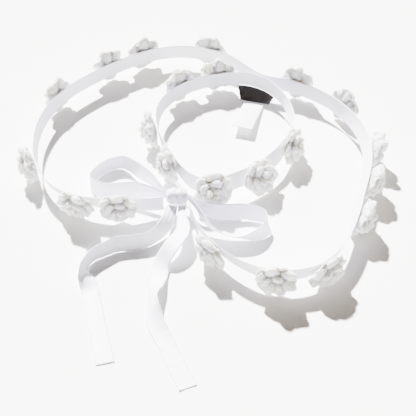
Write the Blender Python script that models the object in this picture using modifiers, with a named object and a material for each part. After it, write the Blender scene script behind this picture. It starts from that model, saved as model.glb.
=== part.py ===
# Flower crown: a narrow ribbon wound into two standing turns, crocheted
# flowers sewn along its outer face, a bow with two loops and two tails, and
# two sewn-in cloth labels. Metres, +Z up, the floor at Z = 0.
import math

import bmesh
import bpy
from mathutils import Matrix, Vector

MM = 0.001

# ---------------------------------------------------------------- sizes (mm)
RIBBON_WIDTH = 15.0
BAND_THICKNESS = 0.8
BOW_THICKNESS = 0.6
LABEL_THICKNESS = 0.5
SEW_GAP = 0.3
FLOOR_GAP = 0.05
LYING_GAP = 0.5

# How far each turn of the ribbon reaches, from the layout's own zero.
OUTER_LEFT = -162.0
OUTER_RIGHT = 148.0
OUTER_BACK = 221.0
OUTER_FRONT = -100.0
INNER_LEFT = -49.0
INNER_RIGHT = 81.0
INNER_BACK = 173.5
INNER_FRONT = 8.5
BAND_MID_HEIGHT = 18.5

FLOWER_RADIUS = 17.5
FLOWER_LOBES = 5
STEPS_PER_LOBE = 4
NOTCH_SHARE = 0.82
SHOULDER_SHARE = 0.97
PETAL_THICKNESS = 1.2
PETAL_GAP = 0.6
BACK_HUB_RADIUS = 5.0
BACK_RIM_HEIGHT = 5.2
FRONT_SHARE = 0.84
FRONT_HUB_RADIUS = 4.0
FRONT_RIM_HEIGHT = 11.5
RIM_RUFFLE = 0.8
RIM_THICKNESS_SHARE = 0.3

KNOT_CENTRE = (-27.5, -3.5, 17.5)
KNOT_SIZE = (19.0, 13.0, 15.0)
KNOT_ROUNDING = 3.5
KNOT_SIDE_GAP = 0.5
KNOT_FRONT_GAP = 0.8
BAND_END_GAP = 2.5

# Side by side at the knot: left tail, right tail, end of the outer turn.
TAIL_SPLIT_X = -26.6
TAIL_SIDE_GAP = 0.8
BAND_TAIL_GAP = 4.0
LEFT_TAIL_SHARE = 0.6
RIGHT_TAIL_SHARE = 0.4
LOOP_SHARE = 0.4
KNOT_FLOWER_GAP = 7.0

CARE_WIDTH = 20.0
CARE_LENGTH = 51.0
CARE_HEADING = -106.0
CARE_BEND_HEIGHT = 4.5
CARE_END_HEIGHT = 9.0
HEM_HEIGHT = 2.0
HEM_INSET = 13.0
HEM_GAP = 1.5
LABEL_DROP = 0.8
LABEL_ROWS = 5
CARE_ROWS = 7

# Lengths of the straight steps that follow each curve.
BAND_STEP = 10.0
BOW_STEP = 6.0
FINE_STEP = 1.0
SUBSTEPS = 12
TURN_COLUMNS = 5

# The whole crown is moved by this much, so that the middle of its base is
# at the origin.
LAYOUT_SHIFT = (4.15, -15.2)

# ------------------------------------------------------- places worked out
H = BAND_MID_HEIGHT
KNOT_LEFT = KNOT_CENTRE[0] - KNOT_SIZE[0] / 2
KNOT_RIGHT = KNOT_CENTRE[0] + KNOT_SIZE[0] / 2
KNOT_FRONT = KNOT_CENTRE[1] - KNOT_SIZE[1] / 2
LOOP_LEFT_X = KNOT_LEFT - KNOT_SIDE_GAP
LOOP_RIGHT_X = KNOT_RIGHT + KNOT_SIDE_GAP
TAIL_Y = KNOT_FRONT - KNOT_FRONT_GAP
LEFT_TAIL_X = TAIL_SPLIT_X - TAIL_SIDE_GAP / 2 - RIBBON_WIDTH / 2 * LEFT_TAIL_SHARE
RIGHT_TAIL_X = TAIL_SPLIT_X + TAIL_SIDE_GAP / 2 + RIBBON_WIDTH / 2 * RIGHT_TAIL_SHARE
BAND_END_X = RIGHT_TAIL_X + RIBBON_WIDTH / 2 * RIGHT_TAIL_SHARE + BAND_TAIL_GAP

# Where each bow strip turns, at the knot.
LEFT_LOOP_PIVOT = (LOOP_LEFT_X, 0.0, 21.2)
RIGHT_LOOP_PIVOT = (LOOP_RIGHT_X, -2.0, 21.8)
LEFT_TAIL_PIVOT = (LEFT_TAIL_X, TAIL_Y, 13.8)
RIGHT_TAIL_PIVOT = (RIGHT_TAIL_X, TAIL_Y, 13.2)
FIXED = (0.0, 0.0, 0.0)

# ------------------------------------------------------------ ribbon routes
# Keys of a standing turn: x, y, height of the ribbon's middle, heading in
# degrees from +X, and how far the top edge leans outward in degrees. The
# keys are the turn's furthest reaches, and bends that follow those reaches.
OUTER_TURN = [
    (KNOT_LEFT - BAND_END_GAP, -8.0, 13.2, 192, 0),
    (-78.0, -14.0, H, 180, 10),
    (OUTER_LEFT + 34.0, -1.0, H, 147, 25),
    (OUTER_LEFT, 76.0, H, 90, 10),
    (OUTER_LEFT + 32.0, OUTER_BACK - 61.0, H, 48, 3),
    (-75.0, OUTER_BACK - 15.0, H, 32, 0),
    (-30.0, OUTER_BACK, H, 0, 0),
    (18.0, OUTER_BACK - 14.0, H, -33, 0),
    (50.0, INNER_BACK, H, -44, 0),
    (70.0, INNER_BACK - 9.5, H, -13, 0),
    (OUTER_RIGHT - 35.0, 140.0, H, -42, 8),
    (OUTER_RIGHT, 62.0, H, -90, 28),
    (OUTER_RIGHT - 17.0, -17.0, H, -106, 30),
    (OUTER_RIGHT - 44.0, OUTER_FRONT + 20.0, H, -129, 17),
    (64.0, OUTER_FRONT, H, -180, 9),
    (14.0, OUTER_FRONT + 24.0, H, -227, 18),
    (-4.0, -50.0, H, -241, 22),
    (BAND_END_X + 4.0, -29.0, 16.0, -255, 8),
    (BAND_END_X, KNOT_FRONT - BAND_END_GAP, 12.2, -262, 0),
]

INNER_TURN = [
    (INNER_LEFT, 105.0, H, 90, 10),
    (30.0, INNER_BACK, H, 0, 0),
    (INNER_RIGHT - 18.0, INNER_BACK - 16.5, H, -52, 0),
    (INNER_RIGHT, 106.0, H, -90, 11),
    (INNER_RIGHT - 28.0, INNER_FRONT + 29.0, H, -133, -22),
    (24.0, INNER_FRONT + 7.5, H, -152, -26),
    (2.0, INNER_FRONT, H, -180, -14),
    (INNER_LEFT + 19.0, INNER_FRONT + 31.5, H, -245, 1),
]

def lying(x, y, across, lift=0.0):
    """A bow station whose lower edge lies on the floor, or that much over it."""
    reach = RIBBON_WIDTH / 2 * abs(across[2]) / math.hypot(*across)
    return (x, y, reach + LYING_GAP + lift, *across, 1.0)


# Bow stations: x, y, z of the ribbon's middle, the direction of its width,
# and how much of its width shows where it is gathered.
LEFT_LOOP = [
    (LOOP_LEFT_X, -2.0, 18.0, 0.0, 0.15, 1.0, LOOP_SHARE),
    (-60.0, 7.0, 15.0, 0.0, 0.35, 1.0, 1.0),
    lying(-98.0, 16.0, (0.0, 0.4, 1.0), 0.8),
    lying(-107.0, 24.0, (0.0, 0.2, 1.0)),
    lying(-103.0, 39.0, (0.0, 0.0, 1.0)),
    lying(-84.0, 54.0, (0.0, 0.0, 1.0)),
    (-58.0, 31.0, 13.5, 0.3, 0.3, 1.0, 0.9),
    (LOOP_LEFT_X, 1.8, 18.0, 0.0, 0.15, 1.0, LOOP_SHARE),
]

RIGHT_LOOP = [
    (LOOP_RIGHT_X, -3.0, 18.0, 0.0, -0.4, 1.0, LOOP_SHARE),
    (BAND_END_X + 9.0, -13.0, 15.0, 0.0, 0.35, 1.0, 0.75),
    (8.0, -16.0, 11.0, 0.0, 0.45, 1.0, 0.95),
    lying(35.0, -14.0, (0.0, 0.4, 1.0), 0.7),
    lying(51.0, -21.5, (-0.1, 0.15, 1.0), 0.3),
    lying(52.0, -33.0, (-0.4, 0.0, 0.95), 0.5),
    lying(40.0, -42.5, (-0.5, -0.35, 0.8), 1.1),
    lying(20.0, -44.5, (-0.1, -0.7, 0.7), 2.1),
    (0.0, -33.5, 13.0, 0.2, -0.6, 0.8, 0.9),
    (BAND_END_X + 4.7, -15.5, 18.6, 0.1, -0.3, 1.0, 0.5),
    (LOOP_RIGHT_X, -6.5, 18.6, 0.0, -0.2, 1.0, LOOP_SHARE),
]

LEFT_TAIL = [
    (LEFT_TAIL_X, TAIL_Y, 13.0, -1.0, 0.0, 0.1, LEFT_TAIL_SHARE),
    (-36.0, -28.0, 9.4, -0.7, 0.1, 0.7, 0.9),
    lying(-50.0, -47.0, (0.0, 0.2, 1.0), 0.2),
    lying(-82.0, -56.0, (0.0, 0.25, 1.0), 0.2),
    lying(-101.0, -73.0, (-0.1, 0.0, 1.0), 0.1),
    lying(-103.0, -82.0, (-0.4, 0.0, 0.9)),
    lying(-101.0, -91.0, (-0.9, -0.1, 0.45), 0.3),
    lying(-98.0, -98.0, (-1.0, -0.25, 0.05), 0.3),
    lying(-95.0, -111.0, (-1.0, -0.25, 0.0), 0.1),
    lying(-90.0, -132.0, (-1.0, -0.25, 0.0)),
    lying(-79.0, -176.0, (-1.0, -0.3, 0.0)),
]

RIGHT_TAIL = [
    (RIGHT_TAIL_X, TAIL_Y, 12.5, 1.0, 0.0, 0.0, RIGHT_TAIL_SHARE),
    (-22.5, -28.0, 13.8, 0.9, 0.0, 0.3, 0.6),
    (-22.0, -44.0, 15.0, 0.9, -0.1, 0.2, 0.9),
    (-33.0, -64.0, 12.0, 0.7, -0.7, 0.0, 1.0),
    (-39.0, -72.0, 4.5, 0.75, -0.65, 0.0, 1.0),
    lying(-41.0, -84.0, (0.95, -0.2, 0.1), 0.4),
    lying(-43.0, -101.0, (0.8, 0.0, 0.5), 0.2),
    lying(-44.5, -116.0, (0.5, 0.0, 0.85), 0.2),
    lying(-42.0, -136.0, (0.9, 0.2, 0.35), 0.2),
    lying(-32.0, -158.0, (0.9, 0.4, 0.0), 0.3),
    lying(-25.0, -176.0, (0.9, 0.45, 0.0)),
    lying(-15.0, -199.0, (0.85, 0.5, 0.0)),
]

# Flowers: what each is placed by, the gap in mm to the neighbour that it is
# placed by, and its turn about its own middle in degrees. A number is a place
# along the turn in keys: 2.5 is halfway from key 2 to key 3.
AFTER_LAST = "after last"
BEFORE_LAST = "before last"
BESIDE_KNOT = "beside knot"
OUTER_FLOWERS = [
    (1.0, 0, 0), (AFTER_LAST, 0.6, 40), (2.6, 0, 10), (3.75, 0, 25), (4.6, 0, 50),
    (AFTER_LAST, 5, 5), (6.6, 0, 30), (9.35, 0, 60), (10.25, 0, 15), (11.0, 0, 35),
    (AFTER_LAST, 9, 0), (AFTER_LAST, 14, 20), (13.3, 0, 55), (AFTER_LAST, 5, 10), (15.3, 0, 45),
]
INNER_FLOWERS = [
    (BESIDE_KNOT, KNOT_FLOWER_GAP, 0), (BEFORE_LAST, 9, 30), (BEFORE_LAST, 15, 5),
    (7.0, 0, 50), (7.75, 0, 20), (0.5, 0, 65), (AFTER_LAST, 4, 10),
]

# The brand label hangs from the inner turn between two places along it.
BRAND_FROM = 1.0
BRAND_TO = 2.1


# ------------------------------------------------------------------ helpers
def clear_scene():
    for obj in list(bpy.data.objects):
        bpy.data.objects.remove(obj, do_unlink=True)


def new_collection(name):
    coll = bpy.data.collections.new(name)
    bpy.context.scene.collection.children.link(coll)
    return coll


def make_material(name, colour, roughness, metallic=0.0):
    mat = bpy.data.materials.new(name)
    mat.use_nodes = True
    shader = mat.node_tree.nodes["Principled BSDF"]
    shader.inputs["Base Color"].default_value = (*colour, 1.0)
    shader.inputs["Roughness"].default_value = roughness
    shader.inputs["Metallic"].default_value = metallic
    mat.diffuse_color = (*colour, 1.0)
    return mat


def add_object(name, mesh, mat, coll):
    obj = bpy.data.objects.new(name, mesh)
    mesh.materials.append(mat)
    coll.objects.link(obj)
    return obj


def hermite(p0, p1, m0, m1, t):
    t2 = t * t
    t3 = t2 * t
    a = 2 * t3 - 3 * t2 + 1
    b = t3 - 2 * t2 + t
    c = -2 * t3 + 3 * t2
    d = t3 - t2
    return [a * p0[k] + b * m0[k] + c * p1[k] + d * m1[k] for k in range(len(p0))]


def even_steps(dense, closed, step):
    """Points at even distances along a dense run of points."""
    run = [0.0]
    for a, b in zip(dense, dense[1:]):
        run.append(run[-1] + math.dist(a[:3], b[:3]))
    steps = max(2, round(run[-1] / step))
    out = []
    j = 0
    for i in range(steps if closed else steps + 1):
        want = run[-1] * i / steps
        while j < len(run) - 2 and run[j + 1] < want:
            j += 1
        part = (want - run[j]) / max(run[j + 1] - run[j], 1e-9)
        out.append([a + (b - a) * part for a, b in zip(dense[j], dense[j + 1])])
    return out


def headed_point(a, b, t):
    """A point of the round bend between two keys, which meets both headings."""
    turn = math.radians((b[3] - a[3] + 180) % 360 - 180)
    reach = math.dist(a[:2], b[:2]) / math.cos(turn / 4) ** 2
    leave = [reach * math.cos(math.radians(a[3])), reach * math.sin(math.radians(a[3]))]
    arrive = [reach * math.cos(math.radians(b[3])), reach * math.sin(math.radians(b[3]))]
    x, y = hermite(a[:2], b[:2], leave, arrive, t)
    ease = t * t * (3 - 2 * t)
    return [x, y, a[2] + (b[2] - a[2]) * ease, a[4] + (b[4] - a[4]) * ease]


def turn_route(keys, closed, step):
    """Even steps along a standing turn: x, y, z, lean and place in keys."""
    ahead = keys[1:] + keys[:1] if closed else keys[1:]
    dense = []
    for i, (a, b) in enumerate(zip(keys, ahead)):
        for k in range(SUBSTEPS):
            dense.append(headed_point(a, b, k / SUBSTEPS) + [i + k / SUBSTEPS])
    dense.append(headed_point(a, b, 1.0) + [len(ahead)])
    return even_steps(dense, closed, step)


def strip_route(stations, step):
    """Even steps along a smooth curve through a bow strip's stations."""
    chord = [math.dist(a[:3], b[:3]) for a, b in zip(stations, stations[1:])]
    slopes = []
    for i, here in enumerate(stations):
        if i == 0:
            slope = [(b - a) / chord[0] for a, b in zip(here, stations[1])]
        elif i == len(stations) - 1:
            slope = [(b - a) / chord[-1] for a, b in zip(stations[-2], here)]
        else:
            ca = chord[i - 1]
            cb = chord[i]
            slope = [((m - a) / ca * cb + (b - m) / cb * ca) / (ca + cb)
                     for a, m, b in zip(stations[i - 1], here, stations[i + 1])]
        slopes.append(slope)
    dense = []
    for i, length in enumerate(chord):
        leave = [v * length for v in slopes[i]]
        arrive = [v * length for v in slopes[i + 1]]
        for k in range(SUBSTEPS):
            dense.append(hermite(stations[i], stations[i + 1], leave, arrive, k / SUBSTEPS))
    dense.append(list(stations[-1]))
    return even_steps(dense, False, step)


def route_frames(samples, closed):
    """Middle, travel direction and width direction at every sample."""
    count = len(samples)
    frames = []
    for i, s in enumerate(samples):
        before = samples[(i - 1) % count] if closed else samples[max(i - 1, 0)]
        after = samples[(i + 1) % count] if closed else samples[min(i + 1, count - 1)]
        travel = (Vector(after[:3]) - Vector(before[:3])).normalized()
        if len(s) == TURN_COLUMNS:
            outward = Vector((-travel.y, travel.x, 0.0)).normalized()
            lean = math.radians(s[3])
            across = Vector((0, 0, 1)) * math.cos(lean) + outward * math.sin(lean)
            share = 1.0
        else:
            across = Vector(s[3:6])
            share = s[6]
        across = (across - travel * across.dot(travel)).normalized()
        frames.append((Vector(s[:3]), travel, across, share))
    return frames


def add_thickness(obj, thickness, even=False):
    shell = obj.modifiers.new("thickness", "SOLIDIFY")
    shell.thickness = thickness * MM
    shell.offset = 0.0
    shell.use_even_offset = even


def ribbon(name, frames, closed, thickness, mat, coll, origin=FIXED):
    """A flat ribbon along its frames, given thickness by Solidify."""
    bm = bmesh.new()
    rows = []
    for middle, travel, across, share in frames:
        reach = across * (RIBBON_WIDTH / 2 * share)
        low = bm.verts.new((middle - reach - Vector(origin)) * MM)
        high = bm.verts.new((middle + reach - Vector(origin)) * MM)
        rows.append((low, high))
    ahead = rows[1:] + rows[:1] if closed else rows[1:]
    for a, b in zip(rows, ahead):
        bm.faces.new((a[0], b[0], b[1], a[1]))
    mesh = bpy.data.meshes.new(name)
    bm.to_mesh(mesh)
    bm.free()
    obj = add_object(name, mesh, mat, coll)
    obj.location = Vector(origin) * MM
    add_thickness(obj, thickness, even=True)
    return obj


def sheet_grid(name, rows, thickness, mat, coll, origin=FIXED):
    """A cloth panel through a grid of points, given thickness by Solidify."""
    bm = bmesh.new()
    grid = []
    for row in rows:
        grid.append([bm.verts.new((Vector(p) - Vector(origin)) * MM) for p in row])
    for upper, lower in zip(grid, grid[1:]):
        for i in range(len(upper) - 1):
            bm.faces.new((upper[i], lower[i], lower[i + 1], upper[i + 1]))
    mesh = bpy.data.meshes.new(name)
    bm.to_mesh(mesh)
    bm.free()
    obj = add_object(name, mesh, mat, coll)
    obj.location = Vector(origin) * MM
    add_thickness(obj, thickness)
    return obj


def lobe_share(step):
    place = step % STEPS_PER_LOBE
    if place == 0:
        return NOTCH_SHARE
    if place == STEPS_PER_LOBE // 2:
        return 1.0
    return SHOULDER_SHARE


def petal_round(name, radius, hub_radius, hub_height, rim_height, mat, coll):
    """One round of petals: a flat hub and a lobed, cupped rim."""
    steps = FLOWER_LOBES * STEPS_PER_LOBE
    bm = bmesh.new()
    middle = bm.verts.new((0, 0, hub_height * MM))
    hub = []
    rim = []
    for i in range(steps):
        angle = 2 * math.pi * i / steps
        way = Vector((math.cos(angle), math.sin(angle), 0))
        share = lobe_share(i)
        lift = rim_height + RIM_RUFFLE * math.cos(FLOWER_LOBES * angle)
        hub.append(bm.verts.new((way * hub_radius + Vector((0, 0, hub_height))) * MM))
        rim.append(bm.verts.new((way * radius * share + Vector((0, 0, lift))) * MM))
    for i in range(steps):
        j = (i + 1) % steps
        bm.faces.new((middle, hub[i], hub[j]))
        bm.faces.new((hub[i], rim[i], rim[j], hub[j]))
    mesh = bpy.data.meshes.new(name)
    bm.to_mesh(mesh)
    bm.free()
    obj = add_object(name, mesh, mat, coll)
    add_thickness(obj, PETAL_THICKNESS)
    return obj


def lowest_point(obj, seat):
    """Lowest height of a petal round once it is seated, thickness included."""
    low = min((seat @ v.co).z for v in obj.data.vertices)
    return low - PETAL_THICKNESS * RIM_THICKNESS_SHARE * MM


def seat_flower(index, frame, spin, mats, coll):
    """Two rounds of petals sewn to the band's outer face, on the floor."""
    middle, travel, across, share = frame
    outward = Vector((-travel.y, travel.x, 0.0))
    outward = (outward - across * outward.dot(across)).normalized()
    side = across.cross(outward)
    turn = Matrix((side, across, outward)).transposed().to_4x4()
    seat = middle + outward * (BAND_THICKNESS / 2 + SEW_GAP)
    base = f"flower_{index:02d}"
    back_hub = PETAL_THICKNESS / 2
    front_hub = back_hub + PETAL_THICKNESS + PETAL_GAP
    back = petal_round(base + "_back", FLOWER_RADIUS, BACK_HUB_RADIUS,
                       back_hub, BACK_RIM_HEIGHT, mats[0], coll)
    front = petal_round(base + "_front", FLOWER_RADIUS * FRONT_SHARE,
                        FRONT_HUB_RADIUS, front_hub, FRONT_RIM_HEIGHT,
                        mats[1], coll)
    place = Matrix.Translation(seat * MM) @ turn @ Matrix.Rotation(
        math.radians(spin), 4, "Z")
    low = min(lowest_point(back, place), lowest_point(front, place))
    lift = (FLOOR_GAP * MM - low) / across.z
    place = Matrix.Translation(across * lift) @ place
    back.matrix_world = place
    front.matrix_world = place


def index_at(samples, place):
    return next(i for i, s in enumerate(samples) if s[-1] >= place)


def index_beside_knot(samples, frames, gap):
    """Where a flower on the inner turn's front clears the bow's knot."""
    want = KNOT_RIGHT + gap + FLOWER_RADIUS * FRONT_SHARE
    front = [i for i, frame in enumerate(frames) if frame[1].x < 0]
    return min(front, key=lambda i: abs(samples[i][0] - want))


def sew_flowers(places, samples, frames, first, mats, coll):
    last = 0
    for index, (anchor, gap, spin) in enumerate(places, start=first):
        pitch = round((2 * FLOWER_RADIUS + gap) / FINE_STEP)
        if anchor == AFTER_LAST:
            last += pitch
        elif anchor == BEFORE_LAST:
            last -= pitch
        elif anchor == BESIDE_KNOT:
            last = index_beside_knot(samples, frames, gap)
        else:
            last = index_at(samples, anchor)
        seat_flower(index, frames[last], spin, mats, coll)


def tie_knot(mat, coll):
    bpy.ops.mesh.primitive_cube_add(size=1.0, location=Vector(KNOT_CENTRE) * MM)
    knot = bpy.context.active_object
    knot.name = "bow_knot"
    knot.data.name = "bow_knot"
    knot.scale = Vector(KNOT_SIZE) * MM
    bpy.ops.object.transform_apply(location=False, rotation=False, scale=True)
    knot.data.materials.append(mat)
    for owner in list(knot.users_collection):
        owner.objects.unlink(knot)
    coll.objects.link(knot)
    rounding = knot.modifiers.new("rounding", "BEVEL")
    rounding.width = KNOT_ROUNDING * MM
    rounding.segments = 3


def care_directions():
    """The way the care label runs from its sewn edge, and the way across it."""
    heading = math.radians(CARE_HEADING)
    run = Vector((math.cos(heading), math.sin(heading), 0))
    return run, Vector((-run.y, run.x, 0))


def brand_frames(samples, frames):
    """The inner turn's frames at even steps from end to end of the label."""
    first = index_at(samples, BRAND_FROM)
    last = index_at(samples, BRAND_TO)
    shares = [i / (LABEL_ROWS - 1) for i in range(LABEL_ROWS)]
    return [frames[round(first + (last - first) * share)] for share in shares]


def hem_middle(label_frames):
    """Middle of the brand label's hem, inside the turn that it hangs from."""
    run, across = care_directions()
    point = label_frames[LABEL_ROWS // 2][0] + run * HEM_INSET
    return Vector((point.x, point.y, HEM_HEIGHT))


def care_pivot(label_frames):
    run, across = care_directions()
    return hem_middle(label_frames) + run * HEM_GAP


def brand_label_rows(label_frames):
    """From just under the inner turn's lower edge down to the hem."""
    run, across = care_directions()
    hem_centre = hem_middle(label_frames)
    top = []
    hem = []
    for i, (middle, travel, width, full) in enumerate(label_frames):
        top.append(middle - width * (RIBBON_WIDTH / 2 + LABEL_DROP))
        hem.append(hem_centre + across * (CARE_WIDTH * (i / (LABEL_ROWS - 1) - 0.5)))
    rows = []
    for i in range(LABEL_ROWS):
        share = i / (LABEL_ROWS - 1)
        rows.append([a.lerp(b, share) for a, b in zip(top, hem)])
    return rows


def care_label_rows(start):
    """Along a rising bend from the sewn edge to the free end."""
    run, across = care_directions()
    half = across * (CARE_WIDTH / 2)
    bend = start + run * (CARE_LENGTH / 2)
    bend.z = CARE_BEND_HEIGHT
    end = start + run * CARE_LENGTH
    end.z = CARE_END_HEIGHT
    rows = []
    for i in range(CARE_ROWS):
        share = i / (CARE_ROWS - 1)
        point = start.lerp(bend, share).lerp(bend.lerp(end, share), share)
        rows.append([point - half, point, point + half])
    return rows


# -------------------------------------------------------------------- build
clear_scene()
crown = new_collection("flower_crown")

ribbon_mat = make_material("ribbon_white", (0.86, 0.85, 0.90), 0.55)
bow_mat = make_material("bow_white", (0.87, 0.86, 0.91), 0.5)
back_mat = make_material("crochet_cream", (0.86, 0.82, 0.74), 0.85)
front_mat = make_material("crochet_white", (0.92, 0.91, 0.87), 0.85)
black_mat = make_material("label_black", (0.015, 0.012, 0.012), 0.6)
care_mat = make_material("label_white", (0.88, 0.88, 0.9), 0.6)

for turn_name, keys, is_ring in (
    ("band_outer_turn", OUTER_TURN, False),
    ("band_inner_turn", INNER_TURN, True),
):
    turn_frames = route_frames(turn_route(keys, is_ring, BAND_STEP), is_ring)
    ribbon(turn_name, turn_frames, is_ring, BAND_THICKNESS, ribbon_mat, crown)

outer_samples = turn_route(OUTER_TURN, False, FINE_STEP)
inner_samples = turn_route(INNER_TURN, True, FINE_STEP)
outer_fine = route_frames(outer_samples, False)
inner_fine = route_frames(inner_samples, True)
petal_mats = (back_mat, front_mat)
sew_flowers(OUTER_FLOWERS, outer_samples, outer_fine, 1, petal_mats, crown)
sew_flowers(INNER_FLOWERS, inner_samples, inner_fine, 1 + len(OUTER_FLOWERS), petal_mats, crown)

for strip_name, stations, pivot in (
    ("bow_loop_left", LEFT_LOOP, LEFT_LOOP_PIVOT),
    ("bow_loop_right", RIGHT_LOOP, RIGHT_LOOP_PIVOT),
    ("bow_tail_left", LEFT_TAIL, LEFT_TAIL_PIVOT),
    ("bow_tail_right", RIGHT_TAIL, RIGHT_TAIL_PIVOT),
):
    strip_frames = route_frames(strip_route(stations, BOW_STEP), False)
    ribbon(strip_name, strip_frames, False, BOW_THICKNESS, bow_mat, crown, pivot)

tie_knot(bow_mat, crown)
label_frames = brand_frames(inner_samples, inner_fine)
care_start = care_pivot(label_frames)
sheet_grid("brand_label", brand_label_rows(label_frames), LABEL_THICKNESS, black_mat, crown)
sheet_grid("care_label", care_label_rows(care_start), LABEL_THICKNESS, care_mat, crown, care_start)

for obj in crown.objects:
    obj.location.x += LAYOUT_SHIFT[0] * MM
    obj.location.y += LAYOUT_SHIFT[1] * MM
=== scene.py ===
import math
import random

import bpy
import numpy as np
from mathutils import Matrix, Vector


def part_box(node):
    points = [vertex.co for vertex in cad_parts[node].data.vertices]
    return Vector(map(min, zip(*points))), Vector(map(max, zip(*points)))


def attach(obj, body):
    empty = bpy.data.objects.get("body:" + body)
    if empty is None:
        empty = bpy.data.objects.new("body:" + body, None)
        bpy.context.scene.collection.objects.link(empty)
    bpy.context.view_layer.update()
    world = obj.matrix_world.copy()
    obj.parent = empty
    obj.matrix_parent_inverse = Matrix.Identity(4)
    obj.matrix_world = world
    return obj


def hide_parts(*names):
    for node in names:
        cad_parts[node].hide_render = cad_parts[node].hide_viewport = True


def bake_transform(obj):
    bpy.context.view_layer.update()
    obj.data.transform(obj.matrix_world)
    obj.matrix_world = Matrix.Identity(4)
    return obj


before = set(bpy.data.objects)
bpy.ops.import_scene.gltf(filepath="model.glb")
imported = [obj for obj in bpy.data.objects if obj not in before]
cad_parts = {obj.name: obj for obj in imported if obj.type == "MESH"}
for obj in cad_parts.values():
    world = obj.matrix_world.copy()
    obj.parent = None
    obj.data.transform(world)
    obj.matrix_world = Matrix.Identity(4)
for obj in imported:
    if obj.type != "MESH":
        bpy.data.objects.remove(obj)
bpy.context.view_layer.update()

MM = 0.001

# ---------------------------------------------------------------- sizes (mm)
RIBBON_WIDTH = 15.0
RIBBON_THICKNESS = 0.45
LABEL_THICKNESS = 0.3
SELVEDGE_WIDTH = 0.9
BAND_THICKNESS = 0.8
SEW_GAP = 0.3
FLOWER_RADIUS = 17.5
FRONT_SHARE = 0.84
CARE_WIDTH = 20.0
FLOOR_CLEARANCE = 0.05

FINE_STEP = 1.0
SUBSTEPS = 12
ACROSS_STEPS = 12
PUFF_ROWS = 28
PUFF_COLUMNS = 48
PETAL_COLUMNS = 34
PETAL_ROWS = 24
PETAL_THICKNESS = 1.1
STITCH_PITCH = 2.3
STITCH_HEIGHT = 1.1
PUFF_RUFFLE = 0.13
PUFF_FOLDS = 3
EDGE_YARN_RADIUS = 0.8
EDGE_YARN_SIDES = 8
EDGE_YARN_SEAT = 1.4  # clearance under the lowest petal, in yarn radii

# The scalloped round: petals, turn, overlap, then each petal's start, height,
# cup, curl and ruffle.
BACK_RING = (5, 0.0, 1.25)
BACK_INSET = 0.8
BACK_PETAL = (0.9, 3.6, 0.8, 0.6, 0.8)
# The heaped shells: petals, turn, reach as a share of the radius, then each
# shell's height, half sizes and lean.
FRONT_RINGS = (
    (6, 0.5, 0.62, 5.6, (6.8, 6.4, 3.1), 0.3),
    (5, 0.1, 0.38, 9.2, (5.9, 5.6, 3.0), 0.65),
    (3, 0.8, 0.15, 12.0, (4.6, 4.0, 2.8), 1.0),
)

# The knot: rounding and pleats of the wrap, and how far it fills its box.
KNOT_AROUND = 72
KNOT_ALONG = 41
KNOT_ROUNDING = 0.8
KNOT_FILL = 0.94
KNOT_PLEAT = 0.07
KNOT_SLANT = 0.35
LABEL_ROWS = 28
LABEL_COLUMNS = 24
LABEL_SAG = 0.9

LAYOUT_SHIFT = (4.15, -15.2)
TURN_COLUMNS = 5

OUTER_LEFT = -162.0
OUTER_RIGHT = 148.0
OUTER_BACK = 221.0
OUTER_FRONT = -100.0
INNER_LEFT = -49.0
INNER_RIGHT = 81.0
INNER_BACK = 173.5
INNER_FRONT = 8.5
H = 18.5

KNOT_LOW, KNOT_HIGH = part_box("bow_knot")
KNOT_LEFT = KNOT_LOW.x / MM - LAYOUT_SHIFT[0]
KNOT_RIGHT = KNOT_HIGH.x / MM - LAYOUT_SHIFT[0]
KNOT_FRONT = KNOT_LOW.y / MM - LAYOUT_SHIFT[1]
BAND_END_GAP = 2.5
BAND_TAIL_GAP = 4.0
TAIL_SPLIT_X = -26.6
TAIL_SIDE_GAP = 0.8
LEFT_TAIL_SHARE = 0.6
RIGHT_TAIL_SHARE = 0.4
LOOP_SHARE = 0.4
KNOT_FLOWER_GAP = 7.0
LYING_GAP = 0.5
LOOP_LEFT_X = KNOT_LEFT - 0.5
LOOP_RIGHT_X = KNOT_RIGHT + 0.5
TAIL_Y = KNOT_FRONT - 0.8
LEFT_TAIL_X = TAIL_SPLIT_X - TAIL_SIDE_GAP / 2 - RIBBON_WIDTH / 2 * LEFT_TAIL_SHARE
RIGHT_TAIL_X = TAIL_SPLIT_X + TAIL_SIDE_GAP / 2 + RIBBON_WIDTH / 2 * RIGHT_TAIL_SHARE
BAND_END_X = RIGHT_TAIL_X + RIBBON_WIDTH / 2 * RIGHT_TAIL_SHARE + BAND_TAIL_GAP

CARE_LENGTH = 51.0
CARE_HEADING = -106.0
CARE_BEND_HEIGHT = 4.5
CARE_END_HEIGHT = 9.0
HEM_HEIGHT = 2.0
HEM_INSET = 13.0
HEM_GAP = 1.5
BRAND_HEM = 30.0
LABEL_DROP = 0.8

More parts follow.
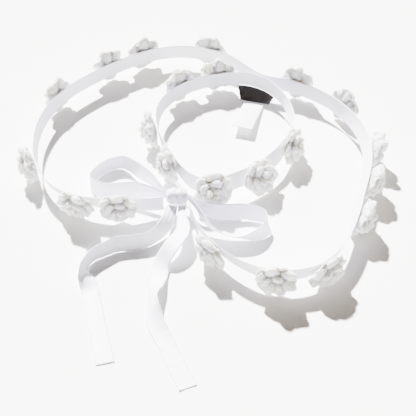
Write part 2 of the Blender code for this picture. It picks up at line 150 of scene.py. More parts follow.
# ------------------------------------------------------------ ribbon routes
# Keys of a standing turn: x, y, height of the ribbon's middle, heading in
# degrees from +X, and how far the top edge leans outward in degrees. The
# keys are the turn's furthest reaches, and bends that follow those reaches.
OUTER_TURN = [
    (KNOT_LEFT - BAND_END_GAP, -8.0, 13.2, 192, 0),
    (-78.0, -14.0, H, 180, 10),
    (OUTER_LEFT + 34.0, -1.0, H, 147, 25),
    (OUTER_LEFT, 76.0, H, 90, 10),
    (OUTER_LEFT + 32.0, OUTER_BACK - 61.0, H, 48, 3),
    (-75.0, OUTER_BACK - 15.0, H, 32, 0),
    (-30.0, OUTER_BACK, H, 0, 0),
    (18.0, OUTER_BACK - 14.0, H, -33, 0),
    (50.0, INNER_BACK, H, -44, 0),
    (70.0, INNER_BACK - 9.5, H, -13, 0),
    (OUTER_RIGHT - 35.0, 140.0, H, -42, 8),
    (OUTER_RIGHT, 62.0, H, -90, 28),
    (OUTER_RIGHT - 17.0, -17.0, H, -106, 30),
    (OUTER_RIGHT - 44.0, OUTER_FRONT + 20.0, H, -129, 17),
    (64.0, OUTER_FRONT, H, -180, 9),
    (14.0, OUTER_FRONT + 24.0, H, -227, 18),
    (-4.0, -50.0, H, -241, 22),
    (BAND_END_X + 4.0, -29.0, 16.0, -255, 8),
    (BAND_END_X, KNOT_FRONT - BAND_END_GAP, 12.2, -262, 0),
]

INNER_TURN = [
    (INNER_LEFT, 105.0, H, 90, 10),
    (30.0, INNER_BACK, H, 0, 0),
    (INNER_RIGHT - 18.0, INNER_BACK - 16.5, H, -52, 0),
    (INNER_RIGHT, 106.0, H, -90, 11),
    (INNER_RIGHT - 28.0, INNER_FRONT + 29.0, H, -133, -22),
    (24.0, INNER_FRONT + 7.5, H, -152, -26),
    (2.0, INNER_FRONT, H, -180, -14),
    (INNER_LEFT + 19.0, INNER_FRONT + 31.5, H, -245, 1),
]

def lying(x, y, across, lift=0.0):
    """A bow station whose lower edge lies on the floor, or that much over it."""
    reach = RIBBON_WIDTH / 2 * abs(across[2]) / math.hypot(*across)
    return (x, y, reach + LYING_GAP + lift, *across, 1.0)


# Bow stations: x, y, z of the ribbon's middle, the direction of its width,
# and how much of its width shows where it is gathered.
LEFT_LOOP = [
    (LOOP_LEFT_X, -2.0, 18.0, 0.0, 0.15, 1.0, LOOP_SHARE),
    (-60.0, 7.0, 15.0, 0.0, 0.35, 1.0, 1.0),
    lying(-98.0, 16.0, (0.0, 0.4, 1.0), 0.8),
    lying(-107.0, 24.0, (0.0, 0.2, 1.0)),
    lying(-103.0, 39.0, (0.0, 0.0, 1.0)),
    lying(-84.0, 54.0, (0.0, 0.0, 1.0)),
    (-58.0, 31.0, 13.5, 0.3, 0.3, 1.0, 0.9),
    (LOOP_LEFT_X, 1.8, 18.0, 0.0, 0.15, 1.0, LOOP_SHARE),
]

RIGHT_LOOP = [
    (LOOP_RIGHT_X, -3.0, 18.0, 0.0, -0.4, 1.0, LOOP_SHARE),
    (BAND_END_X + 9.0, -13.0, 15.0, 0.0, 0.35, 1.0, 0.75),
    (8.0, -16.0, 11.0, 0.0, 0.45, 1.0, 0.95),
    lying(35.0, -14.0, (0.0, 0.4, 1.0), 0.7),
    lying(51.0, -21.5, (-0.1, 0.15, 1.0), 0.3),
    lying(52.0, -33.0, (-0.4, 0.0, 0.95), 0.5),
    lying(40.0, -42.5, (-0.5, -0.35, 0.8), 1.1),
    lying(20.0, -44.5, (-0.1, -0.7, 0.7), 2.1),
    (0.0, -33.5, 13.0, 0.2, -0.6, 0.8, 0.9),
    (BAND_END_X + 4.7, -15.5, 18.6, 0.1, -0.3, 1.0, 0.5),
    (LOOP_RIGHT_X, -6.5, 18.6, 0.0, -0.2, 1.0, LOOP_SHARE),
]

LEFT_TAIL = [
    (LEFT_TAIL_X, TAIL_Y, 13.0, -1.0, 0.0, 0.1, LEFT_TAIL_SHARE),
    (-36.0, -28.0, 9.4, -0.7, 0.1, 0.7, 0.9),
    lying(-50.0, -47.0, (0.0, 0.2, 1.0), 0.2),
    lying(-82.0, -56.0, (0.0, 0.25, 1.0), 0.2),
    lying(-101.0, -73.0, (-0.1, 0.0, 1.0), 0.1),
    lying(-103.0, -82.0, (-0.4, 0.0, 0.9)),
    lying(-101.0, -91.0, (-0.9, -0.1, 0.45), 0.3),
    lying(-98.0, -98.0, (-1.0, -0.25, 0.05), 0.3),
    lying(-95.0, -111.0, (-1.0, -0.25, 0.0), 0.1),
    lying(-90.0, -132.0, (-1.0, -0.25, 0.0)),
    lying(-79.0, -176.0, (-1.0, -0.3, 0.0)),
]

RIGHT_TAIL = [
    (RIGHT_TAIL_X, TAIL_Y, 12.5, 1.0, 0.0, 0.0, RIGHT_TAIL_SHARE),
    (-22.5, -28.0, 13.8, 0.9, 0.0, 0.3, 0.6),
    (-22.0, -44.0, 15.0, 0.9, -0.1, 0.2, 0.9),
    (-33.0, -64.0, 12.0, 0.7, -0.7, 0.0, 1.0),
    (-39.0, -72.0, 4.5, 0.75, -0.65, 0.0, 1.0),
    lying(-41.0, -84.0, (0.95, -0.2, 0.1), 0.4),
    lying(-43.0, -101.0, (0.8, 0.0, 0.5), 0.2),
    lying(-44.5, -116.0, (0.5, 0.0, 0.85), 0.2),
    lying(-42.0, -136.0, (0.9, 0.2, 0.35), 0.2),
    lying(-32.0, -158.0, (0.9, 0.4, 0.0), 0.3),
    lying(-25.0, -176.0, (0.9, 0.45, 0.0)),
    lying(-15.0, -199.0, (0.85, 0.5, 0.0)),
]

# Flowers: what each is placed by, the gap in mm to the neighbour that it is
# placed by, and its turn about its own middle in degrees. A number is a place
# along the turn in keys: 2.5 is halfway from key 2 to key 3.
AFTER_LAST = "after last"
BEFORE_LAST = "before last"
BESIDE_KNOT = "beside knot"
OUTER_FLOWERS = [
    (1.0, 0, 0), (AFTER_LAST, 0.6, 40), (2.6, 0, 10), (3.75, 0, 25), (4.6, 0, 50),
    (AFTER_LAST, 5, 5), (6.6, 0, 30), (9.35, 0, 60), (10.25, 0, 15), (11.0, 0, 35),
    (AFTER_LAST, 9, 0), (AFTER_LAST, 14, 20), (13.3, 0, 55), (AFTER_LAST, 5, 10), (15.3, 0, 45),
]
INNER_FLOWERS = [
    (BESIDE_KNOT, KNOT_FLOWER_GAP, 0), (BEFORE_LAST, 9, 30), (BEFORE_LAST, 15, 5),
    (7.0, 0, 50), (7.75, 0, 20), (0.5, 0, 65), (AFTER_LAST, 4, 10),
]

# The brand label hangs from the inner turn between two places along it.
BRAND_FROM = 1.0
BRAND_TO = 2.1


# ------------------------------------------------------------------- routes
def hermite(p0, p1, m0, m1, t):
    a = 2 * t**3 - 3 * t**2 + 1
    b = t**3 - 2 * t**2 + t
    c = -2 * t**3 + 3 * t**2
    d = t**3 - t**2
    return [a * p0[k] + b * m0[k] + c * p1[k] + d * m1[k] for k in range(len(p0))]


def even_steps(dense, closed, step):
    run = [0.0]
    for a, b in zip(dense, dense[1:]):
        run.append(run[-1] + math.dist(a[:3], b[:3]))
    steps = max(2, round(run[-1] / step))
    out = []
    j = 0
    for i in range(steps if closed else steps + 1):
        want = run[-1] * i / steps
        while j < len(run) - 2 and run[j + 1] < want:
            j += 1
        part = (want - run[j]) / max(run[j + 1] - run[j], 1e-9)
        out.append([a + (b - a) * part for a, b in zip(dense[j], dense[j + 1])])
    return out


def headed_point(a, b, t):
    turn = math.radians((b[3] - a[3] + 180) % 360 - 180)
    reach = math.dist(a[:2], b[:2]) / math.cos(turn / 4) ** 2
    leave = [reach * math.cos(math.radians(a[3])), reach * math.sin(math.radians(a[3]))]
    arrive = [reach * math.cos(math.radians(b[3])), reach * math.sin(math.radians(b[3]))]
    x, y = hermite(a[:2], b[:2], leave, arrive, t)
    ease = t * t * (3 - 2 * t)
    return [x, y, a[2] + (b[2] - a[2]) * ease, a[4] + (b[4] - a[4]) * ease]


def turn_route(keys, closed):
    """Even steps along a standing turn: x, y, z, lean and place in keys."""
    ahead = keys[1:] + keys[:1] if closed else keys[1:]
    dense = []
    for i, (a, b) in enumerate(zip(keys, ahead)):
        for k in range(SUBSTEPS):
            dense.append(headed_point(a, b, k / SUBSTEPS) + [i + k / SUBSTEPS])
    dense.append(headed_point(a, b, 1.0) + [len(ahead)])
    return even_steps(dense, closed, FINE_STEP)


def strip_route(stations):
    chord = [math.dist(a[:3], b[:3]) for a, b in zip(stations, stations[1:])]
    slopes = []
    for i, here in enumerate(stations):
        if i == 0:
            slope = [(b - a) / chord[0] for a, b in zip(here, stations[1])]
        elif i == len(stations) - 1:
            slope = [(b - a) / chord[-1] for a, b in zip(stations[-2], here)]
        else:
            ca, cb = chord[i - 1], chord[i]
            slope = [((m - a) / ca * cb + (b - m) / cb * ca) / (ca + cb)
                     for a, m, b in zip(stations[i - 1], here, stations[i + 1])]
        slopes.append(slope)
    dense = []
    for i, length in enumerate(chord):
        leave = [v * length for v in slopes[i]]
        arrive = [v * length for v in slopes[i + 1]]
        for k in range(SUBSTEPS):
            dense.append(hermite(stations[i], stations[i + 1], leave, arrive, k / SUBSTEPS))
    dense.append(list(stations[-1]))
    return even_steps(dense, False, FINE_STEP)


def route_frames(samples, closed):
    """Middle, travel direction, width direction and width share at each step."""
    count = len(samples)
    frames = []
    for i, s in enumerate(samples):
        before = samples[(i - 1) % count] if closed else samples[max(i - 1, 0)]
        after = samples[(i + 1) % count] if closed else samples[min(i + 1, count - 1)]
        travel = (Vector(after[:3]) - Vector(before[:3])).normalized()
        if len(s) == TURN_COLUMNS:
            outward = Vector((-travel.y, travel.x, 0.0)).normalized()
            lean = math.radians(s[3])
            across = Vector((0, 0, 1)) * math.cos(lean) + outward * math.sin(lean)
            share = 1.0
        else:
            across = Vector(s[3:6])
            share = s[6]
        across = (across - travel * across.dot(travel)).normalized()
        frames.append((Vector(s[:3]), travel, across, share))
    return frames


def index_at(samples, place):
    return next(i for i, s in enumerate(samples) if s[-1] >= place)


def flower_indexes(places, samples, frames):
    """The step along its turn where each flower is sewn."""
    last = 0
    indexes = []
    for anchor, gap, spin in places:
        pitch = round((2 * FLOWER_RADIUS + gap) / FINE_STEP)
        if anchor == AFTER_LAST:
            last += pitch
        elif anchor == BEFORE_LAST:
            last -= pitch
        elif anchor == BESIDE_KNOT:
            want = KNOT_RIGHT + gap + FLOWER_RADIUS * FRONT_SHARE
            front = [i for i, frame in enumerate(frames) if frame[1].x < 0]
            last = min(front, key=lambda i: abs(samples[i][0] - want))
        else:
            last = index_at(samples, anchor)
        indexes.append(last)
    return indexes


# ---------------------------------------------------------------- materials
def cloth_material(name, colour, roughness, threads_per_mm, depth, sheen, tint):
    """Woven or knitted cloth: crossing threads in relief and a soft mottle."""
    mat = bpy.data.materials.new(name)
    mat.use_nodes = True
    nodes = mat.node_tree.nodes
    link = mat.node_tree.links.new
    shader = nodes["Principled BSDF"]
    shader.inputs["Roughness"].default_value = roughness
    shader.inputs["Sheen Weight"].default_value = sheen
    shader.inputs["Sheen Roughness"].default_value = 0.5
    shader.inputs["Subsurface Weight"].default_value = 0.08
    shader.inputs["Subsurface Radius"].default_value = (1.0, 0.9, 0.8)
    shader.inputs["Subsurface Scale"].default_value = 0.001

    uv = nodes.new("ShaderNodeTexCoord")
    waves = []
    for direction in ("X", "Y"):
        wave = nodes.new("ShaderNodeTexWave")
        wave.bands_direction = direction
        wave.inputs["Scale"].default_value = threads_per_mm
        wave.inputs["Distortion"].default_value = 0.6
        wave.inputs["Detail"].default_value = 1.0
        link(uv.outputs["UV"], wave.inputs["Vector"])
        waves.append(wave)
    cross = nodes.new("ShaderNodeMath")
    cross.operation = "MULTIPLY"
    link(waves[0].outputs["Fac"], cross.inputs[0])
    link(waves[1].outputs["Fac"], cross.inputs[1])

    mottle = nodes.new("ShaderNodeTexNoise")
    mottle.inputs["Scale"].default_value = 260.0
    mottle.inputs["Detail"].default_value = 4.0
    link(uv.outputs["Object"], mottle.inputs["Vector"])
    ramp = nodes.new("ShaderNodeValToRGB")
    ramp.color_ramp.elements[0].position = 0.3
    ramp.color_ramp.elements[0].color = (*[c * tint for c in colour], 1.0)
    ramp.color_ramp.elements[1].position = 0.65
    ramp.color_ramp.elements[1].color = (*colour, 1.0)
    link(mottle.outputs["Fac"], ramp.inputs["Fac"])
    link(ramp.outputs["Color"], shader.inputs["Base Color"])

    bump = nodes.new("ShaderNodeBump")
    bump.inputs["Strength"].default_value = 0.5
    bump.inputs["Distance"].default_value = depth * MM
    link(cross.outputs["Value"], bump.inputs["Height"])
    link(bump.outputs["Normal"], shader.inputs["Normal"])
    return mat


def crochet_material(name, rim_colour, heart_shade_colour, heart_shade_radius):
    """Matt cotton yarn, with painted shade: a darker cream painted towards the flower's deep heart.
    """
    mat = cloth_material(name, rim_colour, 0.9, 0.55, 0.6, 0.3, 0.95)
    nodes = mat.node_tree.nodes
    link = mat.node_tree.links.new
    shader = nodes["Principled BSDF"]
    coords = next(n for n in nodes if n.type == "TEX_COORD")
    ramp = next(n for n in nodes if n.type == "VALTORGB")
    split = nodes.new("ShaderNodeSeparateXYZ")
    link(coords.outputs["UV"], split.inputs["Vector"])
    shade_fade = nodes.new("ShaderNodeMapRange")
    shade_fade.interpolation_type = "SMOOTHSTEP"
    shade_fade.inputs["From Min"].default_value = 0.5
    shade_fade.inputs["From Max"].default_value = heart_shade_radius
    link(split.outputs["Y"], shade_fade.inputs["Value"])
    # Painted shade: the heart colour darkens the yarn near the flower's middle and fades out by the
    # given radius.
    mix = nodes.new("ShaderNodeMix")
    mix.data_type = "RGBA"
    mix.inputs["A"].default_value = (*heart_shade_colour, 1.0)
    link(shade_fade.outputs["Result"], mix.inputs["Factor"])
    link(ramp.outputs["Color"], mix.inputs["B"])
    link(mix.outputs["Result"], shader.inputs["Base Color"])
    shader.inputs["Subsurface Weight"].default_value = 0.85
    shader.inputs["Subsurface Radius"].default_value = (1.0, 0.88, 0.70)
    shader.inputs["Subsurface Scale"].default_value = 0.006
    return mat


# ------------------------------------------------------------------- meshes
def grid_piece(name, points, uvs, thickness, mat, ring=False):
    """A cloth surface through a grid of points in mm, with real thickness."""
    rows, cols = points.shape[:2]
    shift = np.array([LAYOUT_SHIFT[0], LAYOUT_SHIFT[1], 0.0])
    places = ((points + shift) * MM).reshape(-1, 3)
    faces = []
    corners = []
    for i in range(rows if ring else rows - 1):
        for j in range(cols - 1):
            quad = ((i, j), (i + 1, j), (i + 1, j + 1), (i, j + 1))
            faces.append([(a % rows) * cols + b for a, b in quad])
            for a, b in quad:
                u, v = uvs[a % rows][b]
                corners.append((u, v if a < rows else v + rows * FINE_STEP))
    return finish_mesh(name, places, faces, corners, thickness, mat)


def finish_mesh(name, places, faces, corners, thickness, mat):
    mesh = bpy.data.meshes.new(name)
    mesh.from_pydata([tuple(p) for p in places], [], faces)
    layer = mesh.uv_layers.new(name="UVMap")
    layer.data.foreach_set("uv", np.array(corners, dtype=np.float32).ravel())
    mesh.materials.append(mat)
    mesh.shade_smooth()
    mesh.validate()
    obj = bpy.data.objects.new(name, mesh)
    bpy.context.scene.collection.objects.link(obj)
    if thickness:
        shell = obj.modifiers.new("thickness", "SOLIDIFY")
        shell.thickness = thickness * MM
        shell.offset = 0.0
    return obj


def ribbon_piece(name, frames, closed, mat, ripple, seed):
    """Ribbon with woven edges, a slight crown across it and small ripples."""
    rng = random.Random(seed)
    phases = [rng.uniform(0, 2 * math.pi) for _ in range(3)]
    count = len(frames)
    points = np.zeros((count, ACROSS_STEPS + 1, 3))
    uvs = np.zeros((count, ACROSS_STEPS + 1, 2))
    for i, (middle, travel, across, share) in enumerate(frames):
        normal = across.cross(travel)
        turn = 2 * math.pi * i / count
        wave = math.sin(9 * turn + phases[0]) + 0.6 * math.sin(23 * turn + phases[1])
        gather = (1.0 - share) * 1.6
        for j in range(ACROSS_STEPS + 1):
            part = 2.0 * j / ACROSS_STEPS - 1.0
            edge = max(0.0, abs(part) - (1 - 2 * SELVEDGE_WIDTH / RIBBON_WIDTH))
            lift = 0.18 * (1 - part * part) + ripple * wave * part * part
            lift += gather * math.sin(3 * math.pi * part + phases[2]) * 0.5
            lift += 0.8 * edge
            spot = middle + across * (part * RIBBON_WIDTH / 2 * share) + normal * lift
            spot.z = max(spot.z, RIBBON_THICKNESS / 2 + FLOOR_CLEARANCE)
            points[i, j] = spot
            uvs[i, j] = (part * RIBBON_WIDTH / 2, i * FINE_STEP)
    return grid_piece(name, points, uvs, RIBBON_THICKNESS, mat, ring=closed)


def shell_petal(rng, middle_angle, half_span, reach, start, height, cup, curl, ruffle):
    """One crocheted petal: a rounded fan that cups, curls over and is knobbly."""
    phase = rng.uniform(0, 2 * math.pi)
    reach = reach * rng.uniform(0.93, 1.04)
    height = height * rng.uniform(0.85, 1.15)
    points = np.zeros((PETAL_COLUMNS + 1, PETAL_ROWS + 1, 3))
    uvs = np.zeros((PETAL_COLUMNS + 1, PETAL_ROWS + 1, 2))
    for i in range(PETAL_COLUMNS + 1):
        side = 2.0 * i / PETAL_COLUMNS - 1.0
        outline = 1 - 0.34 * abs(side) ** 2.6
        angle = middle_angle + half_span * side
        for j in range(PETAL_ROWS + 1):
            share = j / PETAL_ROWS
            r = 1.0 + (reach * outline - 1.0) * share
            z = start + height * share**1.2 + cup * side * side * share
            z -= curl * max(0.0, share - 0.6) ** 2 / 0.16
            z += ruffle * share**2 * math.sin(2.5 * math.pi * side + phase)
            row = r / STITCH_PITCH
            column = angle * reach / STITCH_PITCH + 0.5 * math.floor(row)
            knob = abs(math.sin(math.pi * row) * math.sin(math.pi * column))
            z += STITCH_HEIGHT * knob * min(1.0, 2 * share)
            r += 0.4 * STITCH_HEIGHT * knob * share
            points[i, j] = (r * math.cos(angle), r * math.sin(angle), z)
            uvs[i, j] = (angle * reach, r)
    return points, uvs


def petal_ring(rng, count, turn, overlap, *shape):
    """Petals side by side round the flower, every other one a little higher."""
    half_span = math.pi / count * overlap
    petals = []
    for k in range(count):
        points, uvs = shell_petal(rng, turn + 2 * math.pi * k / count, half_span, *shape)
        points[:, :, 2] += 0.6 * (k % 2)
        petals.append((points, uvs))
    return petals


def puff(rng, angle, reach, height, size, tilt):
    """One gathered petal: a plump shell of knobbly stitches leaning outwards."""
    down = np.linspace(0, math.pi, PUFF_ROWS + 1)[:, None]
    around = np.linspace(0, 2 * math.pi, PUFF_COLUMNS + 1)[None, :]
    rows = round(math.pi * size[0] / STITCH_PITCH)
    columns = round(2 * math.pi * size[1] / STITCH_PITCH)
    phase = rng.uniform(0, 2 * math.pi)
    knob = np.abs(np.sin(rows * down) * np.sin(columns * around / 2)) * np.sin(down)
    swell = 1 + PUFF_RUFFLE * np.sin(down) ** 2 * np.sin(PUFF_FOLDS * around + phase)
    normal = (
        np.sin(down) * np.cos(around),
        np.sin(down) * np.sin(around),
        np.cos(down) + 0 * around,
    )
    spots = [normal[k] * (size[k] * swell + STITCH_HEIGHT * knob) for k in range(3)]
    lean, grow = tilt + rng.uniform(-0.15, 0.15), rng.uniform(0.88, 1.1)
    x = reach + grow * (spots[0] * math.cos(lean) - spots[2] * math.sin(lean))
    z = height + grow * (spots[0] * math.sin(lean) + spots[2] * math.cos(lean))
    y = grow * spots[1]
    c, s = math.cos(angle), math.sin(angle)
    points = np.stack([x * c - y * s, x * s + y * c, z], axis=2)
    uvs = np.stack([around * size[1] + angle * reach + 0 * down, np.hypot(x, y)], axis=2)
    return points, uvs


def puff_ring(rng, count, turn, *shape):
    """Plump shells round the flower, unevenly spaced as hand work is."""
    return [
        puff(rng, turn + 2 * math.pi * (k + rng.uniform(-0.12, 0.12)) / count, *shape)
        for k in range(count)
    ]


def edge_yarn(petal, rng):
    """The chain of stitches round a petal's edge, as a knobbly tube."""
    rim = petal[0][:, -1]
    count = len(rim)
    run = np.linalg.norm(np.diff(rim, axis=0), axis=1).sum()
    knobs = max(4, round(run / STITCH_PITCH))
    phase = rng.uniform(0, 2 * math.pi)
    points = np.zeros((count, EDGE_YARN_SIDES + 1, 3))
    uvs = np.zeros((count, EDGE_YARN_SIDES + 1, 2))
    for i in range(count):
        travel = Vector(rim[min(i + 1, count - 1)] - rim[max(i - 1, 0)]).normalized()
        side = travel.cross(Vector((0, 0, 1))).normalized()
        up = side.cross(travel)
        turn = knobs * 2 * math.pi * i / count + phase
        taper = min(1.0, 0.25 + 4 * min(i, count - 1 - i) / count)
        reach = EDGE_YARN_RADIUS * taper * (1 + 0.35 * math.cos(turn))
        for j in range(EDGE_YARN_SIDES + 1):
            around = -2 * math.pi * j / EDGE_YARN_SIDES
            points[i, j] = Vector(rim[i]) + (side * math.cos(around) + up * math.sin(around)) * reach
            uvs[i, j] = (i * 0.5, np.hypot(*rim[i][:2]))
    return points, uvs


def patches_piece(name, patches, place, thickness, mat):
    """Petals or edge yarns of one flower as one piece, seated on the band."""
    places = []
    faces = []
    corners = []
    turn = np.array(place.to_3x3())
    move = np.array(place.translation)
    for points, uvs in patches:
        base = len(places)
        rows, cols = points.shape[:2]
        places.extend(points.reshape(-1, 3) @ turn.T + move)
        for i in range(rows - 1):
            for j in range(cols - 1):
                quad = ((i, j), (i, j + 1), (i + 1, j + 1), (i + 1, j))
                faces.append([base + a * cols + b for a, b in quad])
                corners.extend(tuple(uvs[a][b]) for a, b in quad)
    shift = np.array([LAYOUT_SHIFT[0], LAYOUT_SHIFT[1], 0.0])
    world = (np.array(places) + shift) * MM
    return finish_mesh(name, world, faces, corners, thickness, mat)


def flower_place(band_frame, spin, layers):
    """Seat on the band's outer face, raised until the lowest petal is clear."""
    middle, travel, across, _ = band_frame
    outward = Vector((-travel.y, travel.x, 0.0))
    outward = (outward - across * outward.dot(across)).normalized()
    side = across.cross(outward)
    turn = Matrix((side, across, outward)).transposed().to_4x4()
    turn = turn @ Matrix.Rotation(math.radians(spin), 4, "Z")
    seat = middle + outward * (BAND_THICKNESS / 2 + SEW_GAP)
    spread = np.array(turn.to_3x3())
    low = min((points.reshape(-1, 3) @ spread.T)[:, 2].min() for points, _ in layers)
    lift = (EDGE_YARN_RADIUS * EDGE_YARN_SEAT - low - seat.z) / across.z
    return Matrix.Translation(seat + across * lift) @ turn


def make_flower(number, band_frame, spin, back_mat, front_mat):
    """A scalloped cream round with plump white shells heaped on it."""
    rng = random.Random(100 + number)
    back = petal_ring(rng, *BACK_RING, FLOWER_RADIUS - BACK_INSET, *BACK_PETAL)
    front = []
    for count, turn, share, *shell in FRONT_RINGS:
        front += puff_ring(rng, count, turn, FLOWER_RADIUS * share, *shell)
    place = flower_place(band_frame, spin, back + front)
    label = f"{number:02d}"
    for part, patches, thickness, mat, slot_name in (
        ("back", back, PETAL_THICKNESS, back_mat, "crochet_cream"),
        ("front", front, 0, front_mat, "crochet_white"),
    ):
        piece = patches_piece(f"crochet_{label}_{part}", patches, place, thickness, mat)
        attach(piece, "crown")
        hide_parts(f"flower_{label}_{part}")
    rims = [edge_yarn(petal, rng) for petal in back]
    yarn = patches_piece(f"crochet_{label}_back_edge", rims, place, 0, back_mat)
    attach(yarn, "crown")


def make_knot(mat):
    """The wrap of ribbon round the bow: a soft block pleated along the wrap."""
    centre = (KNOT_LOW + KNOT_HIGH) / 2 / MM - Vector((*LAYOUT_SHIFT, 0.0))
    half = (KNOT_HIGH - KNOT_LOW) / 2 / MM
    points = np.zeros((KNOT_AROUND, KNOT_ALONG, 3))
    uvs = np.zeros((KNOT_AROUND, KNOT_ALONG, 2))
    for i in range(KNOT_AROUND):
        angle = 2 * math.pi * i / KNOT_AROUND
        for j in range(KNOT_ALONG):
            part = 2.0 * j / (KNOT_ALONG - 1) - 1.0
            swell = max(0.0, 1 - abs(part) ** 4) ** 0.35
            pleat = 1 + KNOT_PLEAT * math.cos(3 * math.pi * (part + KNOT_SLANT * math.sin(angle)))
            c, s = math.cos(angle), math.sin(angle)
            y = math.copysign(abs(c) ** KNOT_ROUNDING, c) * half.y * swell * pleat * KNOT_FILL
            z = math.copysign(abs(s) ** KNOT_ROUNDING, s) * half.z * swell * pleat * KNOT_FILL
            points[i, j] = (centre.x + part * half.x, centre.y + y, centre.z + z)
            uvs[i, j] = (part * half.x, angle * half.y)
    return grid_piece("knot_wrap", points, uvs, RIBBON_THICKNESS, mat, ring=True)


def label_grid(name, corner_rows, sag, mat):
    """A label as a fine grid with a soft bow across it."""
    rows, cols = LABEL_ROWS, LABEL_COLUMNS
    points = np.zeros((rows + 1, cols + 1, 3))
    uvs = np.zeros((rows + 1, cols + 1, 2))
    for i in range(rows + 1):
        left, right = corner_rows(i / rows)
        for j in range(cols + 1):
            part = j / cols
            spot = left.lerp(right, part)
            spot.z += sag * math.sin(math.pi * part) * math.sin(math.pi * i / rows)
            points[i, j] = spot
            uvs[i, j] = (part * (right - left).length, i * 1.2)
    return grid_piece(name, points, uvs, LABEL_THICKNESS, mat)


# ------------------------------------------------------------------- pieces
ribbon_mat = cloth_material("woven_ribbon", (0.84, 0.84, 0.95), 0.5, 0.9, 0.05, 0.25, 0.975)
bow_mat = cloth_material("woven_bow", (0.85, 0.85, 0.96), 0.48, 0.9, 0.05, 0.25, 0.975)
# The last colour and radius of each crochet finish are painted shade in the flower's heart.
cream_mat = crochet_material("crochet_cream", (0.97, 0.94, 0.86), (0.90, 0.80, 0.62), 15.0)
white_mat = crochet_material("crochet_white", (0.98, 0.97, 0.93), (0.92, 0.84, 0.68), 9.0)
black_mat = cloth_material("label_black", (0.016, 0.014, 0.015), 0.42, 1.4, 0.04, 0.15, 0.7)
care_mat = cloth_material("label_white", (0.86, 0.86, 0.88), 0.45, 1.4, 0.03, 0.15, 0.97)

outer_samples = turn_route(OUTER_TURN, False)
inner_samples = turn_route(INNER_TURN, True)
outer_frames = route_frames(outer_samples, False)
inner_frames = route_frames(inner_samples, True)

for node, frames, closed, seed in (
    ("band_outer_turn", outer_frames, False, 1),
    ("band_inner_turn", inner_frames, True, 2),
):
    piece = ribbon_piece(node + "_ribbon", frames, closed, ribbon_mat, 0.15, seed)
    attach(piece, "crown")
    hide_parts(node)

number = 0
for places, samples, frames in (
    (OUTER_FLOWERS, outer_samples, outer_frames),
    (INNER_FLOWERS, inner_samples, inner_frames),
):
    for index, (anchor, gap, spin) in zip(flower_indexes(places, samples, frames), places):
        number += 1
        make_flower(number, frames[index], spin, cream_mat, white_mat)

# Each bow strip is one ribbon running out from the knot, baked in place; the body and away entries
# are not used.
for node, body, stations, away, seed in (
    ("bow_loop_left", "loop_left", LEFT_LOOP, (-0.010, 0, 0), 3),
    ("bow_loop_right", "loop_right", RIGHT_LOOP, (0.010, 0, 0), 4),
    ("bow_tail_left", "tail_left", LEFT_TAIL, (0, -0.008, 0), 5),
    ("bow_tail_right", "tail_right", RIGHT_TAIL, (0, -0.008, 0), 6),
):
    frames = route_frames(strip_route(stations), False)
    piece = ribbon_piece(node + "_ribbon", frames, False, bow_mat, 0.2, seed)
    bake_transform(piece)
    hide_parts(node)

knot = make_knot(bow_mat)
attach(knot, "crown")
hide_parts("bow_knot")


heading = math.radians(CARE_HEADING)
care_run = Vector((math.cos(heading), math.sin(heading), 0))
care_across = Vector((-care_run.y, care_run.x, 0))
brand_first = index_at(inner_samples, BRAND_FROM)
brand_last = index_at(inner_samples, BRAND_TO)
hem_middle = inner_frames[round((brand_first + brand_last) / 2)][0] + care_run * HEM_INSET
hem_middle.z = HEM_HEIGHT


def brand_points():
    """The brand label follows the ring at its top and is straight at its hem."""
    rows, cols = 24, brand_last - brand_first
    points = np.zeros((rows + 1, cols + 1, 3))
    uvs = np.zeros((rows + 1, cols + 1, 2))
    for j in range(cols + 1):
        middle, _, across, _ = inner_frames[brand_first + j]
        top = middle - across * (RIBBON_WIDTH / 2 + LABEL_DROP)
        hem = hem_middle + care_across * (BRAND_HEM * (j / cols - 0.5))
        for i in range(rows + 1):
            points[i, j] = top.lerp(hem, i / rows)
            uvs[i, j] = (j * FINE_STEP, (hem - top).length * i / rows)
    return points, uvs


def care_row(share):
    """Both edges of the care label at a share of its length."""
    half = care_across * (CARE_WIDTH / 2)
    start = hem_middle + care_run * HEM_GAP
    bend = start + care_run * (CARE_LENGTH / 2)
    bend.z = CARE_BEND_HEIGHT
    end = start + care_run * CARE_LENGTH
    end.z = CARE_END_HEIGHT
    point = start.lerp(bend, share).lerp(bend.lerp(end, share), share)
    return point - half, point + half


brand_grid, brand_uvs = brand_points()
brand = grid_piece("brand_label_cloth", brand_grid, brand_uvs, LABEL_THICKNESS, black_mat)
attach(brand, "crown")
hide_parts("brand_label")

care = label_grid("care_label_cloth", care_row, LABEL_SAG, care_mat)
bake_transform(care)
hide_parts("care_label")

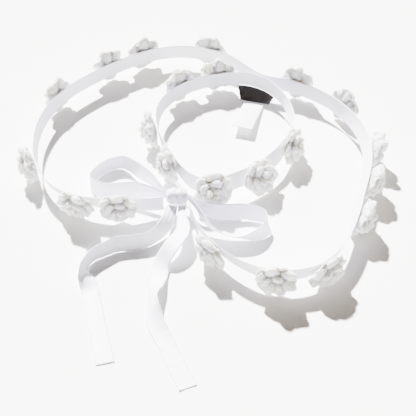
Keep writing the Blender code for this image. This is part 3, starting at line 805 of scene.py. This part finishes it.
# -------------------------------------------------------------------- stage
FLOOR_SIZE = 6.0
FLOOR_COLOUR = (0.95, 0.95, 0.945, 1)
KEY_ENERGY = 42.0
KEY_ANGLE = math.radians(3.0)
FILL_ENERGY = 2.0
ROOM_COLOUR = (1.0, 0.76, 0.56, 1)
ROOM_STRENGTH = 0.18

bpy.ops.mesh.primitive_plane_add(size=FLOOR_SIZE, location=(0, 0, 0))
floor = bpy.context.active_object
floor.name = "floor"
floor_mat = bpy.data.materials.new("pale_floor")
floor_mat.use_nodes = True
floor_shader = floor_mat.node_tree.nodes["Principled BSDF"]
floor_shader.inputs["Base Color"].default_value = FLOOR_COLOUR
floor_shader.inputs["Roughness"].default_value = 0.9
floor.data.materials.append(floor_mat)


def aimed(name, data, place, target):
    obj = bpy.data.objects.new(name, data)
    bpy.context.scene.collection.objects.link(obj)
    obj.location = place
    obj.rotation_euler = (Vector(target) - Vector(place)).to_track_quat("-Z", "Y").to_euler()
    return obj


# A strong key from the back left, a weak warm fill from the front and a warm room.
key = bpy.data.lights.new("key", "SUN")
key.angle = KEY_ANGLE
key.energy = KEY_ENERGY
key.color = (1.0, 0.99, 0.98)
aimed("key", key, (-0.38, 0.92, 1.0), (0, 0, 0))
fill = bpy.data.lights.new("fill", "AREA")
fill.size = 2.0
fill.energy = FILL_ENERGY
fill.color = (1.0, 0.82, 0.66)
aimed("fill", fill, (0.6, -1.2, 1.4), (0, 0, 0))

world = bpy.data.worlds.new("studio")
world.use_nodes = True
world.node_tree.nodes["Background"].inputs["Color"].default_value = ROOM_COLOUR
world.node_tree.nodes["Background"].inputs["Strength"].default_value = ROOM_STRENGTH
bpy.context.scene.world = world

CAMERA_DISTANCE = 0.884
CAMERA_DEPRESSION = math.radians(43.0)
AIM = Vector((LAYOUT_SHIFT[0] * MM, LAYOUT_SHIFT[1] * MM, 0.0))
camera = bpy.data.cameras.new("camera")
camera.lens = 85.0
camera.sensor_width = 36.0
back = Vector((0.0, -math.cos(CAMERA_DEPRESSION), math.sin(CAMERA_DEPRESSION)))
bpy.context.scene.camera = aimed("camera", camera, AIM + back * CAMERA_DISTANCE, AIM)
